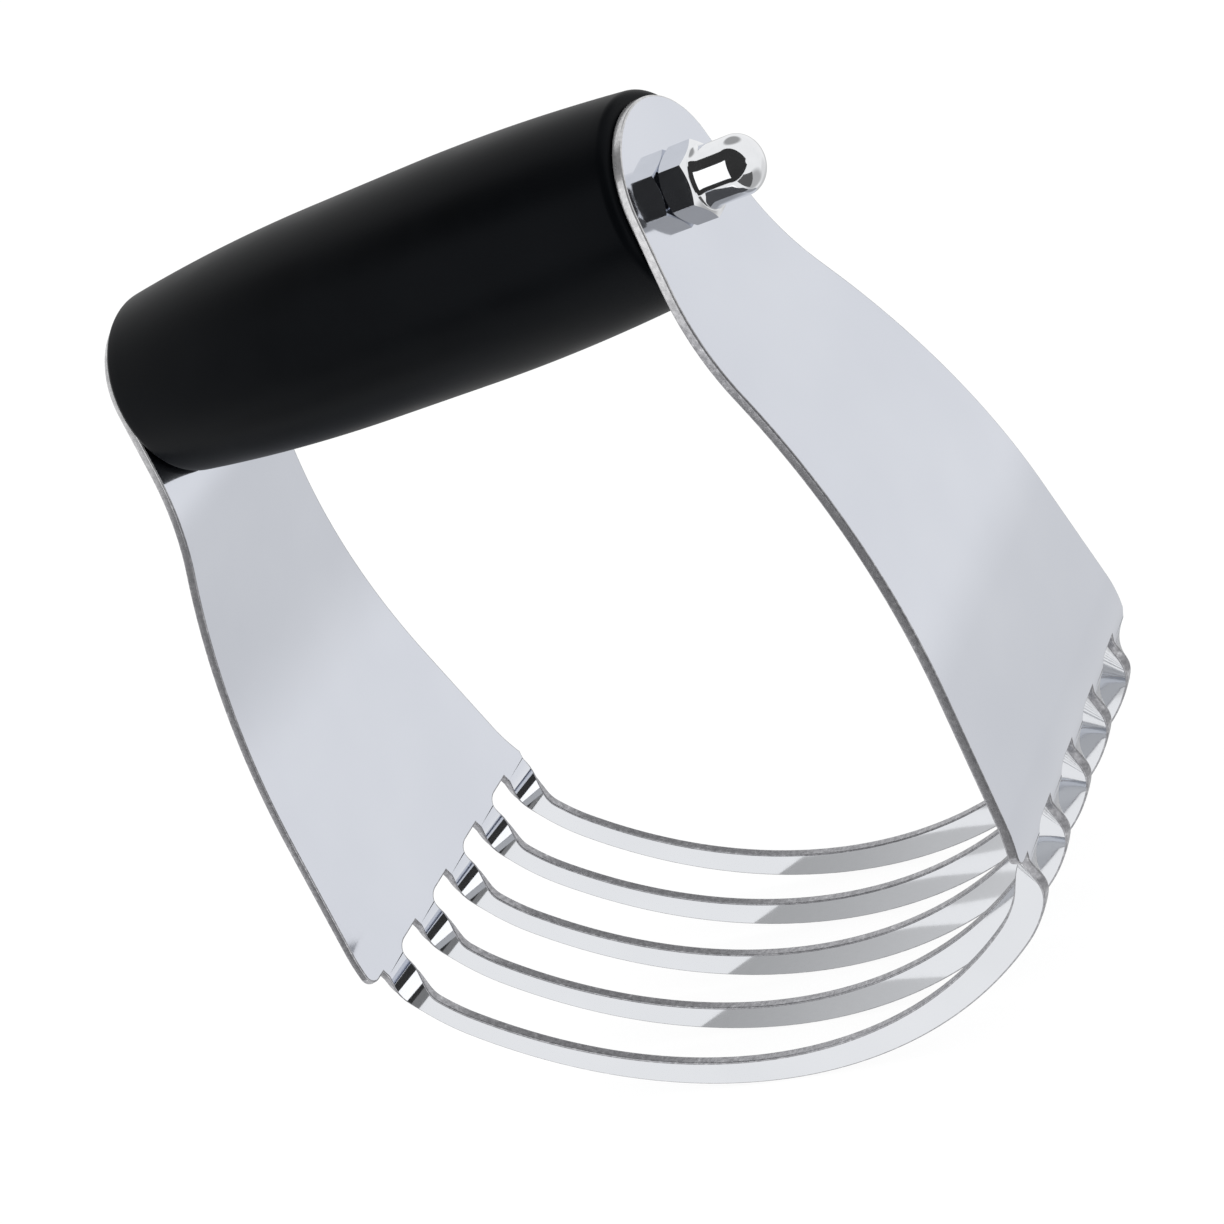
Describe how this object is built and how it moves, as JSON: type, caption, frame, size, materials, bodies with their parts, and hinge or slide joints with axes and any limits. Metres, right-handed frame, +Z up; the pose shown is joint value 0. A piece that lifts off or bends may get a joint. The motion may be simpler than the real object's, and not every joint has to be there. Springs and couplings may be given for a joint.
{
  "type": "pastry blender",
  "caption": "Hand-held pastry blender: a barrel grip held by a tie bolt between two bowed steel side plates, with twisted blades curving in a U from one plate to the other.",
  "frame": {"origin": "on the table under the middle of the blades' cutting edges: the bottom centre of the bounding box", "axes": "+Z up from the blades to the grip, which is the longest extent; +X along the grip towards the cap nut; +Y across the blades, which is the shortest extent"},
  "size_m": [0.1295, 0.063, 0.156],
  "materials": {
    "stamped_steel": "polished",
    "sleeve_rubber": "matte",
    "core_plastic": "matte",
    "bolt_steel": "satin",
    "nut_chrome": "polished"
  },
  "bodies": {
    "frame": {"side_plate_left": "stamped_steel", "side_plate_right": "stamped_steel", "blade_1": "stamped_steel", "blade_2": "stamped_steel", "blade_3": "stamped_steel", "blade_4": "stamped_steel", "blade_5": "stamped_steel", "tie_bolt": "bolt_steel", "cap_nut": "nut_chrome"},
    "grip": {"grip_sleeve": "sleeve_rubber", "grip_core": "core_plastic"}
  },
  "joints": [
    {"name": "grip_turn", "type": "hinge", "parent": "frame", "child": "grip", "pos_m": [0, 0, 0.1389], "axis": [1, 0, 0], "continuous": true}
  ]
}
